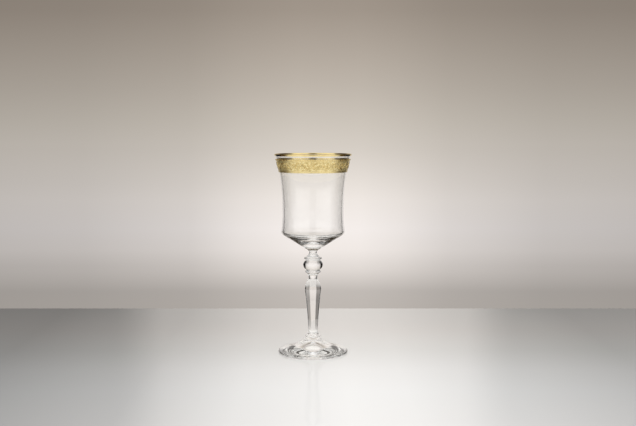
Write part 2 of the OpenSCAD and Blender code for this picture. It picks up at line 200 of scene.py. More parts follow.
def turn_solid(outline, steps, closed=False):
    """Solid turned about the axis from an outline of radius and height."""
    bm = bmesh.new()
    verts = [bm.verts.new((r * MM, 0, z * MM)) for r, z in outline]
    for a, b in zip(verts, verts[1:] + (verts[:1] if closed else [])):
        if a is not b:
            bm.edges.new((a, b))
    bmesh.ops.spin(bm, geom=bm.verts[:] + bm.edges[:], cent=(0, 0, 0), axis=(0, 0, 1),
                   angle=TURN, steps=steps, use_merge=True, use_duplicate=False)
    bmesh.ops.remove_doubles(bm, verts=bm.verts[:], dist=MERGE)
    return bm


def mark_joints(bm, joints):
    """Faces in the plane of a fused joint, inside its radius, take the second material."""
    for f in bm.faces:
        for z, r in joints:
            if all(abs(v.co.z - z * MM) < MERGE and v.co.xy.length < (r + JOINT_PLAY) * MM
                   for v in f.verts):
                f.material_index = 1


# Shader nodes
def node(tree, kind, **values):
    """New node, with values for its inputs or its own settings."""
    n = tree.nodes.new(kind)
    for key, value in values.items():
        if key in n.inputs:
            n.inputs[key].default_value = value
        else:
            setattr(n, key, value)
    return n


def group(name, inputs, outputs):
    """New shader group, with its input and output nodes."""
    g = bpy.data.node_groups.new(name, "ShaderNodeTree")
    for label, kind, value in inputs:
        s = g.interface.new_socket(name=label, in_out="INPUT", socket_type=kind)
        s.default_value = value
    for label, kind in outputs:
        g.interface.new_socket(name=label, in_out="OUTPUT", socket_type=kind)
    return g, g.nodes.new("NodeGroupInput"), g.nodes.new("NodeGroupOutput")


def make_ripple():
    """Faint ripple and cord of blown glass, and a faint change of tint."""
    g, gi, go = group("glass_ripple",
                      [("Scale", "NodeSocketFloat", 55.0), ("Depth", "NodeSocketFloat", 0.00003),
                       ("Tint A", "NodeSocketColor", (0.985, 0.992, 0.985, 1)),
                       ("Tint B", "NodeSocketColor", (1, 1, 1, 1))],
                      [("Color", "NodeSocketColor"), ("Normal", "NodeSocketVector")])
    at = node(g, "ShaderNodeTexCoord")
    stretch = node(g, "ShaderNodeMapping")
    stretch.inputs["Scale"].default_value = (1, 1, 0.35)
    wave = node(g, "ShaderNodeTexNoise", Detail=1.5, Roughness=0.4)
    tint = node(g, "ShaderNodeTexNoise", Scale=24.0, Detail=1.0)
    bump = node(g, "ShaderNodeBump", Strength=0.35)
    mix = node(g, "ShaderNodeMix", data_type="RGBA")
    link = g.links.new
    link(at.outputs["Object"], stretch.inputs["Vector"])
    link(stretch.outputs["Vector"], wave.inputs["Vector"])
    link(gi.outputs["Scale"], wave.inputs["Scale"])
    link(at.outputs["Object"], tint.inputs["Vector"])
    link(wave.outputs["Fac"], bump.inputs["Height"])
    link(gi.outputs["Depth"], bump.inputs["Distance"])
    link(tint.outputs["Fac"], mix.inputs[0])
    link(gi.outputs["Tint A"], mix.inputs[6])
    link(gi.outputs["Tint B"], mix.inputs[7])
    link(mix.outputs[2], go.inputs["Color"])
    link(bump.outputs["Normal"], go.inputs["Normal"])
    return g


def make_gilt():
    """Worn, slightly uneven gold film: colour, roughness and grain."""
    g, gi, go = group("gilt_film",
                      [("Color A", "NodeSocketColor", (0.93, 0.72, 0.34, 1)),
                       ("Color B", "NodeSocketColor", (0.82, 0.60, 0.25, 1)),
                       ("Rough A", "NodeSocketFloat", 0.1), ("Rough B", "NodeSocketFloat", 0.2),
                       ("Patch", "NodeSocketFloat", 180.0), ("Grain", "NodeSocketFloat", 2500.0),
                       ("Grain Depth", "NodeSocketFloat", 0.00001)],
                      [("Color", "NodeSocketColor"), ("Roughness", "NodeSocketFloat"),
                       ("Normal", "NodeSocketVector")])
    at = node(g, "ShaderNodeTexCoord")
    cloud = node(g, "ShaderNodeTexNoise", Detail=2.0)
    share = node(g, "ShaderNodeMapRange")
    share.inputs["From Min"].default_value = 0.38
    share.inputs["From Max"].default_value = 0.62
    grain = node(g, "ShaderNodeTexNoise", Detail=2.0)
    mix = node(g, "ShaderNodeMix", data_type="RGBA")
    rough = node(g, "ShaderNodeMapRange")
    bump = node(g, "ShaderNodeBump", Strength=1.0)
    link = g.links.new
    link(at.outputs["Object"], cloud.inputs["Vector"])
    link(at.outputs["Object"], grain.inputs["Vector"])
    link(gi.outputs["Grain"], grain.inputs["Scale"])
    link(gi.outputs["Patch"], cloud.inputs["Scale"])
    link(cloud.outputs["Fac"], share.inputs["Value"])
    link(share.outputs["Result"], mix.inputs[0])
    link(gi.outputs["Color A"], mix.inputs[6])
    link(gi.outputs["Color B"], mix.inputs[7])
    link(share.outputs["Result"], rough.inputs["Value"])
    link(gi.outputs["Rough A"], rough.inputs["To Min"])
    link(gi.outputs["Rough B"], rough.inputs["To Max"])
    link(grain.outputs["Fac"], bump.inputs["Height"])
    link(gi.outputs["Grain Depth"], bump.inputs["Distance"])
    link(mix.outputs[2], go.inputs["Color"])
    link(rough.outputs["Result"], go.inputs["Roughness"])
    link(bump.outputs["Normal"], go.inputs["Normal"])
    return g


RIPPLE = make_ripple()
GILT = make_gilt()
GLASS_IOR = 1.52
GLASS_SHADOW = (0.975, 0.98, 0.975, 1)


# Materials
def new_material(name):
    m = bpy.data.materials.new(name)
    m.use_nodes = True
    return m, m.node_tree, m.node_tree.nodes["Principled BSDF"]


def glass_material(name, scale, depth):
    """Clear glass with a ripple, which lets the lamps' light through to what lies behind it."""
    m, tree, bsdf = new_material(name)
    bsdf.inputs["Roughness"].default_value = 0.0
    bsdf.inputs["IOR"].default_value = GLASS_IOR
    bsdf.inputs["Transmission Weight"].default_value = 1.0
    film = node(tree, "ShaderNodeGroup", node_tree=RIPPLE)
    film.inputs["Scale"].default_value = scale
    film.inputs["Depth"].default_value = depth
    ray = node(tree, "ShaderNodeLightPath")
    clear = node(tree, "ShaderNodeBsdfTransparent", Color=GLASS_SHADOW)
    mix = node(tree, "ShaderNodeMixShader")
    link = tree.links.new
    link(film.outputs["Color"], bsdf.inputs["Base Color"])
    link(film.outputs["Normal"], bsdf.inputs["Normal"])
    link(ray.outputs["Is Shadow Ray"], mix.inputs["Fac"])
    link(bsdf.outputs["BSDF"], mix.inputs[1])
    link(clear.outputs["BSDF"], mix.inputs[2])
    link(mix.outputs["Shader"], tree.nodes["Material Output"].inputs["Surface"])
    return m


def gold_material(name, colors, rough, patch, grain, depth, metal=1.0):
    """Gold film between two colours and two roughnesses, with patches and grain of given scales."""
    m, tree, bsdf = new_material(name)
    bsdf.inputs["Metallic"].default_value = metal
    film = node(tree, "ShaderNodeGroup", node_tree=GILT)
    for letter, color, roughness in zip("AB", colors, rough):
        film.inputs["Color " + letter].default_value = (*color, 1)
        film.inputs["Rough " + letter].default_value = roughness
    film.inputs["Patch"].default_value = patch
    film.inputs["Grain"].default_value = grain
    film.inputs["Grain Depth"].default_value = depth
    tree.links.new(film.outputs["Color"], bsdf.inputs["Base Color"])
    tree.links.new(film.outputs["Roughness"], bsdf.inputs["Roughness"])
    tree.links.new(film.outputs["Normal"], bsdf.inputs["Normal"])
    return m


BLOWN = glass_material("blown_glass", scale=55.0, depth=0.00001)
PRESSED = glass_material("pressed_glass", scale=120.0, depth=0.000004)
# The faces of a fused joint inside the glass don't show
FUSED, _, fused_bsdf = new_material("fused_joint")
fused_bsdf.inputs["Alpha"].default_value = 0.0
POLISHED = gold_material("polished_gold", [(0.91, 0.74, 0.37), (0.85, 0.67, 0.31)], (0.07, 0.15),
                         patch=180.0, grain=900.0, depth=0.000002)
BRUSHED = gold_material("brushed_gold", [(0.89, 0.74, 0.37), (0.83, 0.67, 0.32)], (0.26, 0.34),
                        patch=180.0, grain=900.0, depth=0.000004, metal=0.85)
MATT = gold_material("matt_gold", [(0.92, 0.77, 0.4), (0.68, 0.53, 0.22)], (0.2, 0.5),
                     patch=520.0, grain=2600.0, depth=0.00004, metal=0.68)


# Glass, from the table upwards
def add_piece(ob, cad_node):
    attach(ob, "root")
    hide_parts(cad_node)


def glass_piece(name, outline, joints, material=PRESSED, steps=AROUND):
    """Turned piece of glass, with the height and radius of each of its fused joints."""
    bm = turn_solid(outline, steps)
    bmesh.ops.recalc_face_normals(bm, faces=bm.faces[:])
    mark_joints(bm, joints)
    add_piece(finish_mesh(bm, name, [material, FUSED]), name)


def bell_share(r):
    """Share of the bell-shaped hollow under the foot at a radius."""
    return math.exp(-((2 * r / FOOT_HOLLOW_W) ** 2))


def make_foot():
    edge = FOOT_EDGE / 2
    edge_r = FOOT_R - edge
    edge_top = (edge_r + edge * math.sin(FOOT_EDGE_SLOPE),
                edge + edge * math.cos(FOOT_EDGE_SLOPE))
    # The upper face leaves the collar at one slope and meets the edge at the other
    drop = FOOT_H - edge_top[1] - (edge_top[0] - FOOT_JOINT_R) * math.tan(FOOT_EDGE_SLOPE)
    run = drop / (math.tan(FOOT_TOP_SLOPE) - math.tan(FOOT_EDGE_SLOPE))
    meet = (FOOT_JOINT_R + run, FOOT_H - run * math.tan(FOOT_TOP_SLOPE))
    top = bend((FOOT_JOINT_R, FOOT_H), meet, edge_top, FOOT_TOP_N)
    rim = arc(edge_r, edge, edge, QUARTER - FOOT_EDGE_SLOPE, -QUARTER, FOOT_EDGE_N)
    # Inside the standing ring the underside rises a little, and to a bell under the stem
    hollow_r = edge_r - FOOT_RING
    hollow = [(r, FOOT_UNDER * (1 - r / hollow_r)
               + FOOT_HOLLOW * (bell_share(r) - bell_share(hollow_r)))
              for r in spread(hollow_r, 0, FOOT_HOLLOW_N)]
    glass_piece("foot", [(0, FOOT_H)] + top + rim[1:] + hollow, [(FOOT_H, FOOT_JOINT_R)],
                steps=WIDE_AROUND)


def make_collar():
    bell_z = COLLAR_Z + COLLAR_RING_T
    ring = bulge(FOOT_JOINT_R, COLLAR_Z, bell_z, COLLAR_RING_OUT, COLLAR_RING_N)
    bell_bend = (STEM_LOW_JOINT_R, bell_z + (COLLAR_BELL_R - STEM_LOW_JOINT_R) / 2)
    bell = bend((COLLAR_BELL_R, bell_z), bell_bend, (STEM_LOW_JOINT_R, STEM_Z), COLLAR_BELL_N)
    glass_piece("base_collar", [(0, COLLAR_Z)] + ring + bell + [(0, STEM_Z)],
                [(COLLAR_Z, FOOT_JOINT_R), (STEM_Z, STEM_LOW_JOINT_R)])


def stem_half(z):
    """Half the width across flats of the stem at a height."""
    if z <= SHOULDER_Z:
        return STEM_LOW + (SHOULDER - STEM_LOW) * ((z - STEM_Z) / TAPER_H) ** SWELL
    return SHOULDER - (SHOULDER - STEM_TOP) * ((z - SHOULDER_Z) / CROWN_H) ** SWELL


def is_level(edge):
    return abs(edge.verts[0].co.z - edge.verts[1].co.z) < LEVEL


def make_baluster():
    half_side = math.pi / STEM_SIDES
    rows = spread(STEM_Z, SHOULDER_Z, TAPER_N) + spread(SHOULDER_Z, NECK_Z, CROWN_N)[1:]
    bm = bmesh.new()
    foot_place = Matrix.Translation((0, 0, rows[0] * MM)) @ Matrix.Rotation(half_side, 4, "Z")
    bmesh.ops.create_circle(bm, cap_ends=True, segments=STEM_SIDES, matrix=foot_place,
                            radius=stem_half(rows[0]) * (1 / math.cos(half_side)) * MM)
    bm.faces.ensure_lookup_table()
    top = bm.faces[0]
    for low, high in zip(rows, rows[1:]):
        out = bmesh.ops.extrude_face_region(bm, geom=[top])
        if low != rows[0]:
            bmesh.ops.delete(bm, geom=[top], context="FACES_ONLY")
        top = next(g for g in out["geom"] if isinstance(g, bmesh.types.BMFace))
        k = stem_half(high) / stem_half(low)
        for v in top.verts:
            v.co = (v.co.x * k, v.co.y * k, high * MM)
    # Soften the corners, the shoulder and the top
    upright = [e for e in bm.edges if not is_level(e)]
    soft = [e for e in bm.edges if is_level(e)
            and min(abs(e.verts[0].co.z - z * MM) for z in (SHOULDER_Z, NECK_Z)) < LEVEL]
    bmesh.ops.bevel(bm, geom=upright + soft, offset=ARRIS * MM, offset_type="OFFSET", segments=2,
                    profile=0.5, affect="EDGES", material=-1)
    # Round joints in the middle of both end faces
    for z, r, flip in ((STEM_Z, STEM_LOW_JOINT_R, math.pi), (NECK_Z, NECK_JOINT_R, 0.0)):
        flat = [f for f in bm.faces if all(abs(v.co.z - z * MM) < LEVEL for v in f.verts)]
        cap = max(flat, key=lambda f: f.calc_area())
        rim = list(cap.edges)
        bmesh.ops.delete(bm, geom=[cap], context="FACES_ONLY")
        joint_place = Matrix.Translation((0, 0, z * MM)) @ Matrix.Rotation(flip, 4, "X")
        disc = bmesh.ops.create_circle(bm, cap_ends=True, segments=AROUND, radius=r * MM,
                                       matrix=joint_place)
        face = disc["verts"][0].link_faces[0]
        face.material_index = 1
        bmesh.ops.bridge_loops(bm, edges=rim + list(face.edges))
    stem = finish_mesh(bm, "baluster", [PRESSED, FUSED], FACET_CREASE)
    add_piece(stem, "baluster")


def make_lower_merese():
    neck_bend = (NECK_JOINT_R, LOWER_DISC_Z - (NECK_TOP_R - NECK_JOINT_R))
    neck = bend((NECK_JOINT_R, NECK_Z), neck_bend, (NECK_TOP_R, LOWER_DISC_Z), LOWER_NECK_N)
    edge = LOWER_DISC_T / 2
    disc = arc(LOWER_DISC_R - edge, LOWER_DISC_Z + edge, edge, -QUARTER, QUARTER, LOWER_DISC_N)
    glass_piece("lower_merese",
                [(0, NECK_Z)] + neck + disc + [(KNOP_JOINT_R, KNOP_Z), (0, KNOP_Z)],
                [(NECK_Z, NECK_JOINT_R), (KNOP_Z, KNOP_JOINT_R)])


def make_knop():
    side = bulge(KNOP_JOINT_R, KNOP_Z, UPPER_Z, KNOP_R - KNOP_JOINT_R, KNOP_N)
    glass_piece("knop", [(0, KNOP_Z)] + side + [(0, UPPER_Z)],
                [(KNOP_Z, KNOP_JOINT_R), (UPPER_Z, KNOP_JOINT_R)])


def make_upper_merese():
    edge = UPPER_DISC_T / 2
    rim_r = UPPER_DISC_R - edge
    disc_top = UPPER_DISC_Z + UPPER_DISC_T
    groove = bend((KNOP_JOINT_R, UPPER_Z), (KNOP_JOINT_R, UPPER_DISC_Z), (rim_r, UPPER_DISC_Z),
                  UPPER_GROOVE_N)
    disc = arc(rim_r, UPPER_DISC_Z + edge, edge, -QUARTER, QUARTER, UPPER_DISC_N)
    neck_bend = (BOWL_NECK_R + NECK_FULLNESS * (rim_r - BOWL_NECK_R),
                 disc_top + UPPER_NECK_H * NECK_FULLNESS)
    neck = bend((rim_r, disc_top), neck_bend, (BOWL_NECK_R, BOWL_Z), UPPER_NECK_N)
    glass_piece("upper_merese", [(0, UPPER_Z)] + groove + disc[1:] + neck[1:] + [(0, BOWL_Z)],
                [(UPPER_Z, KNOP_JOINT_R), (BOWL_Z, BOWL_NECK_R)])


def lip_arc(radius):
    """Round over the lip, from outside to inside."""
    centre = outer(LIP_Z, -LIP_T / 2)
    return arc(*centre, radius, -LIP_LEAN, math.pi - LIP_LEAN, ROUND_N)


def make_bowl():
    up_r, up_z = math.cos(CONE_SLOPE), math.sin(CONE_SLOPE)
    cone_start = (BOWL_NECK_R + NECK_ROUND * up_r, CONE_Z + NECK_ROUND * up_z)
    under = bend((BOWL_NECK_R, BOWL_Z), (BOWL_NECK_R, CONE_Z), cone_start, ROUND_N)
    cone_end = (TURN_R - CORNER_ROUND * up_r, TURN_Z - CORNER_ROUND * up_z)
    corner = bend(cone_end, (TURN_R, TURN_Z), outer(CORNER_Z), ROUND_N)
    # Rows along the straight cone keep its shading even
    cone = [tuple(a + (b - a) * t for a, b in zip(under[-1], corner[0]))
            for t in spread(0, 1, CONE_N)[1:-1]]
    outside = [outer(z) for z in spread(CORNER_Z, LIP_Z, WALL_N)]
    lip = lip_arc(LIP_T / 2)
    # The inner corner is where the inner wall meets the line that keeps its distance from the cone
    in_r = inner(CORNER_Z)[0]
    in_z = CONE_Z + (in_r - BOWL_NECK_R) * math.tan(CONE_SLOPE) + BASE_T / math.cos(CONE_SLOPE)
    round_z = in_z + INNER_ROUND
    inside = [inner(z) for z in spread(LIP_Z, round_z, WALL_N)]
    # The floor leaves the inner corner along the cone and is level at the axis
    floor_start = (in_r - INNER_ROUND * up_r, in_z - INNER_ROUND * up_z)
    floor_bend = (in_r - (in_z - FLOOR_Z) / math.tan(CONE_SLOPE), FLOOR_Z)
    inner_turn = bend(inner(round_z), (in_r, in_z), floor_start, ROUND_N)
    floor = bend(floor_start, floor_bend, (0, FLOOR_Z), FLOOR_N)
    outline = ([(0, BOWL_Z)] + under + cone + corner + outside[1:] + lip[1:] + inside[1:]
               + inner_turn[1:] + floor[1:])
    glass_piece("bowl", outline, [(BOWL_Z, BOWL_NECK_R)], BLOWN, WIDE_AROUND)


# Gold, from the lip downwards
def gold_piece(name, outline, material):
    """Ring of gold, turned from a closed outline."""
    bm = turn_solid(outline, WIDE_AROUND, closed=True)
    add_piece(finish_mesh(bm, name, [material]), name)


def make_rim_gilding():
    rows = spread(RIM_LINE_Z, LIP_Z, RIM_LINE_N)
    front = ([outer(z, GOLD_T) for z in rows] + lip_arc(LIP_T / 2 + GOLD_T)[1:]
             + [inner(z, GOLD_T) for z in reversed(rows)][1:])
    back_lip = lip_arc(LIP_T / 2 - GOLD_IN)[::-1]
    back = ([inner(z, -GOLD_IN) for z in rows] + back_lip[1:]
            + [outer(z, -GOLD_IN) for z in reversed(rows)][1:])
    gold_piece("rim_gilding", front + back, POLISHED)


def plain(u):
    """Thickness of the field, which is the same at any share of its height."""
    return GOLD_T


def edged(u):
    """Thickness of a strip with a fine raised line along both edges, at a share of its height."""
    line = sum(max(0.0, 1 - abs(u - at) / EDGE_LINE_HALF)
               for at in (EDGE_LINE_AT, 1 - EDGE_LINE_AT))
    return GOLD_T + EDGE_LINE_H * min(line, 1.0) ** 0.5


def gold_ring(name, low, high, profile, material, n):
    """Ring on the wall: profile gives the thickness at a share of the height."""
    rows = spread(low, high, n)
    back = [outer(z, -GOLD_IN) for z in rows]
    front = [outer(z, profile((z - low) / (high - low))) for z in reversed(rows)]
    gold_piece(name, back + front, material)


def make_band():
    gold_ring("band_upper_strip", GROUND_TOP_Z, BAND_TOP_Z, edged, POLISHED,
              UPPER_STRIP_N)
    gold_ring("band_ground", GROUND_LOW_Z, GROUND_TOP_Z, plain, MATT, GROUND_N)
    gold_ring("band_lower_strip", BAND_LOW_Z, GROUND_LOW_Z, edged, BRUSHED,
              LOWER_STRIP_N)


def seat(angle, z, out=0.0):
    """Place on the band: first axis along it, second up it, third outwards."""
    (r, height), slope = wall(z, GOLD_T + out)
    k = math.hypot(1, slope)
    c, s = math.cos(angle), math.sin(angle)
    along = Vector((-s, c, 0))
    away = Vector((c / k, s / k, -slope / k))
    place = Matrix.Identity(4)
    for i, axis in enumerate((along, away.cross(along), away)):
        for j in range(3):
            place[j][i] = axis[j]
    place.translation = Vector((r * c, r * s, height)) * MM
    return place


def sized(place, size):
    """The place, scaled for a shape of radius 1 to get the given half sizes."""
    return place @ Matrix.Diagonal((*(s * MM for s in size), 1))


def make_beading():
    bm = bmesh.new()
    bead_z = (GROUND_TOP_Z + BAND_TOP_Z) / 2
    for i in range(BEADS):
        bmesh.ops.create_uvsphere(bm, u_segments=8, v_segments=6, radius=1.0,
                                  matrix=sized(seat(TURN * i / BEADS, bead_z), BEAD_SIZE))
    beads = finish_mesh(bm, "band_beading", [POLISHED], RELIEF_CREASE)
    add_piece(beads, "band_beading")


def curl_at(k, t):
    """Point of curl k, as an angle and a rise from the middle of the band."""
    side = 1 if k % 2 == 0 else -1
    size = CURL_EYE + (1 - CURL_EYE) * (1 - t) + CURL_LEAD * math.exp(-LEAD_FADE * t)
    turn = math.radians(CURL_START - CURL_TURN * t)
    return ((k + 0.5) * HALF_WAVE + CURL_REACH * HALF_WAVE * size * math.cos(turn),
            side * WAVE_H * (CURL_RISE * size * math.sin(turn) - CURL_DROP))


def scroll_lines():
    """Mesh of the wave and the curls, made from a round curve."""
    cu = bpy.data.curves.new("scroll_lines", "CURVE")
    cu.dimensions = "3D"
    cu.bevel_depth = LINE_R * MM
    cu.bevel_resolution = 2
    cu.use_fill_caps = True
    n = WAVES * WAVE_N
    wave = [(TURN * i / n, WAVE_H * math.sin(TURN * i / n * WAVES)) for i in range(n)]
    curls = [[curl_at(k, t) for t in spread(0, 1, CURL_N)] for k in range(2 * WAVES)]
    for points, loop in [(wave, True)] + [(curl, False) for curl in curls]:
        sp = cu.splines.new("POLY")
        sp.points.add(len(points) - 1)
        sp.use_cyclic_u = loop
        for i, (angle, rise) in enumerate(points):
            sp.points[i].co = (*seat(angle, BAND_MID_Z + rise, LINE_OUT).translation, 1)
            sp.points[i].radius = 1.0 if loop else CURL_LINE - CURL_THINNING * i / len(points)
    ob = bpy.data.objects.new("scroll_lines", cu)
    bpy.context.collection.objects.link(ob)
    lines = bpy.data.meshes.new_from_object(
        ob.evaluated_get(bpy.context.evaluated_depsgraph_get()))
    bpy.data.objects.remove(ob)
    return lines


def add_leaf(bm, angle, rise, heading, length, width):
    """Pointed leaf that starts at a place on the band and runs along a heading."""
    grown = bmesh.ops.create_icosphere(bm, subdivisions=2, radius=1.0)["verts"]
    place = seat(angle, BAND_MID_Z + rise) @ Matrix.Rotation(heading, 4, "Z")
    for v in grown:
        u = (v.co.x + 1) / 2
        taper = math.sin(math.pi * min(1.0, u**LEAF_FULLNESS)) * (1 - LEAF_TIP) + LEAF_TIP
        v.co = place @ (Vector((u * length,
                                v.co.y * width / 2 * taper + LEAF_CURVE * length * u * u,
                                v.co.z * LEAF_H * (1 - LEAF_FALL * u))) * MM)


def make_scrollwork():
    """Wave and curls, with sprays of leaves beside the wave and a dot in the eye of each curl."""
    lines = scroll_lines()
    bm = bmesh.new()
    bm.from_mesh(lines)
    bpy.data.meshes.remove(lines)
    for k in range(2 * WAVES):
        rising = k % 2 == 0
        for side in (1, -1):
            # The two free corners beside each crossing of the wave
            ahead = -side if rising else side
            base = k * HALF_WAVE + ahead * SPRAY_SHIFT * HALF_WAVE
            heading = math.atan2(side, ahead * SPRAY_LEAN)
            for swing, length, width in SPRAY:
                add_leaf(bm, base, side * SPRAY_RISE, heading + swing, length, width)
        angle, rise = curl_at(k, 1.0)
        bmesh.ops.create_icosphere(bm, subdivisions=2, radius=1.0,
                                   matrix=sized(seat(angle, BAND_MID_Z + rise), EYE_SIZE))
    scroll = finish_mesh(bm, "band_scrollwork", [POLISHED], RELIEF_CREASE)
    add_piece(scroll, "band_scrollwork")


make_foot()
make_collar()
make_baluster()
make_lower_merese()
make_knop()
make_upper_merese()
make_bowl()
make_rim_gilding()
make_band()
make_beading()
make_scrollwork()

# Table, backdrop and lights
TABLE_PLACE, TABLE_SIZE, TABLE_BEVEL = (0, -0.64, -0.0103), (4.0, 1.728, 0.02), 0.0012
CARD_PLACE, CARD_SIZE = (0, 0.3, 0.3), (1.2, 0.7)
# Lengths that the tones are spread over: along and across the table, and on the card
TABLE_SPAN, NEAR_SPAN = (-0.3, 0.3), (0.0, 0.3)
CARD_UP, CARD_ACROSS = (-0.1, 0.6), (-0.6, 0.6)
# Directions that the tones of the room are spread over
AZIMUTHS, HEIGHTS, UPPER_HEIGHTS, DEPTHS = (-180, 180), (-0.5, 1.0), (0.0, 1.0), (-1.0, 1.0)
WHITE, BLACK, BROWN = (1, 1, 1), (0, 0, 0), (0.07, 0.045, 0.02)
# Painted light: how much brighter the card glows through the glass
THROUGH_GAIN = 0.07
LAMP_AIM = (0, 0, 0.11)
WARM, PALE_WARM = (1, 0.97, 0.93), (1, 0.98, 0.955)
CAMERA_PLACE, CAMERA_PITCH = (0.0049, -0.8966, 0.2169), 5.072
CAMERA_LENS, CAMERA_SENSOR = 52.2, 36


def ramp(tree, source, span, stops):
    """Tone along a value, from stops that each have a place and one or three numbers."""
    low, high = span
    share = node(tree, "ShaderNodeMapRange")
    share.inputs["From Min"].default_value = low
    share.inputs["From Max"].default_value = high
    tree.links.new(source, share.inputs["Value"])
    r = node(tree, "ShaderNodeValToRGB")
    els = r.color_ramp.elements
    while len(els) < len(stops):
        els.new(0.5)
    for e, (place, *value) in zip(els, stops):
        e.position = (place - low) / (high - low)
        e.color = (*(value if len(value) == 3 else value * 3), 1)
    tree.links.new(share.outputs["Result"], r.inputs["Fac"])
    return r.outputs["Color"]


def fill(tree, sockets, values):
    """Give each socket a number, a colour or a link."""
    for socket, value in zip(sockets, values):
        if isinstance(value, (int, float)):
            socket.default_value = value
        elif isinstance(value, tuple):
            socket.default_value = (*value, 1)
        else:
            tree.links.new(value, socket)


def maths(tree, op, a, b):
    n = node(tree, "ShaderNodeMath", operation=op)
    fill(tree, n.inputs, (a, b))
    return n.outputs[0]


def blend(tree, kind, share, a, b):
    n = node(tree, "ShaderNodeMix", data_type="RGBA", blend_type=kind)
    fill(tree, (n.inputs[0], n.inputs[6], n.inputs[7]), (share, a, b))
    return n.outputs[2]


def rays(tree):
    """Whether a ray comes from the camera, was refracted last, or was reflected last."""
    path = node(tree, "ShaderNodeLightPath").outputs
    through = path["Is Transmission Ray"]
    # A refracted ray counts as glossy too
    return path["Is Camera Ray"], through, maths(tree, "SUBTRACT", path["Is Glossy Ray"], through)


def places(tree, source):
    """The three coordinates of a point or direction."""
    part = node(tree, "ShaderNodeSeparateXYZ")
    tree.links.new(node(tree, "ShaderNodeTexCoord").outputs[source], part.inputs[0])
    return part.outputs


def make_table():
    """Pale table, darker to the sides and to the back as a painted pool of light."""
    bm = bmesh.new()
    bmesh.ops.create_cube(bm, size=1.0, matrix=Matrix.Translation(TABLE_PLACE)
                          @ Matrix.Diagonal((*TABLE_SIZE, 1)))
    bmesh.ops.bevel(bm, geom=bm.edges[:], offset=TABLE_BEVEL, segments=2, profile=0.5,
                    affect="EDGES", material=-1)
    pale, tree, bsdf = new_material("pale_table")
    bsdf.inputs["Roughness"].default_value = 0.05
    bsdf.inputs["Specular IOR Level"].default_value = 0.1
    x, y, _ = places(tree, "Object")
    _, through, shine = rays(tree)
    # Painted light: the table is lightest in the middle and darker to the sides and to the back, as
    # under a pool of light
    across = ramp(tree, x, TABLE_SPAN, [(-0.3, 0.4), (-0.15, 0.6), (-0.06, 0.88), (0.03, 1.0),
                                        (0.08, 0.97), (0.16, 0.8), (0.3, 0.58)])
    deep = ramp(tree, y, TABLE_SPAN, [(-0.22, 0.93, 0.925, 0.92), (-0.14, 0.935, 0.935, 0.932),
                                      (-0.07, 0.915, 0.909, 0.899), (0.005, 0.83, 0.818, 0.795),
                                      (0.1, 0.8, 0.767, 0.736), (0.2, 0.775, 0.749, 0.72)])
    # Painted shade in reflections: there the back of the table is dark and brown
    painted_reflection_shade = ramp(tree, y, TABLE_SPAN, [(-0.09, *WHITE), (0.03, 0.12, 0.08, 0.035)])
    painted_light_tone = blend(tree, "MULTIPLY", 1.0, deep, blend(tree, "MIX", shine, across, painted_reflection_shade))
    # Painted shade through the glass: there the back of the table is dark to the sides
    sides = ramp(tree, x, TABLE_SPAN, [(-0.2, 0.12), (-0.1, 0.4), (-0.075, 0.45), (-0.045, 1.0),
                                       (0.045, 1.0), (0.075, 0.5), (0.1, 0.4), (0.2, 0.12)])
    at_back = ramp(tree, y, NEAR_SPAN, [(0.05, 0.0), (0.08, 1.0)])
    sides = blend(tree, "MIX", at_back, WHITE, sides)
    sides = blend(tree, "MIX", through, WHITE, sides)
    tree.links.new(blend(tree, "MULTIPLY", 1.0, painted_light_tone, sides), bsdf.inputs["Base Color"])
    # Painted light: a glow on the table where the glass would gather light, which only shows
    # through the glass
    away = node(tree, "ShaderNodeVectorMath", operation="LENGTH")
    tree.links.new(node(tree, "ShaderNodeTexCoord").outputs["Object"], away.inputs[0])
    painted_caustic_glow = ramp(tree, away.outputs["Value"], NEAR_SPAN, [(0.04, 0.27, 0.263, 0.256),
                                                             (0.09, 0.07, 0.068, 0.066)])
    fill(tree, (bsdf.inputs["Emission Color"], bsdf.inputs["Emission Strength"]),
         (painted_caustic_glow, through))
    table = finish_mesh(bm, "table", [pale], FACET_CREASE)


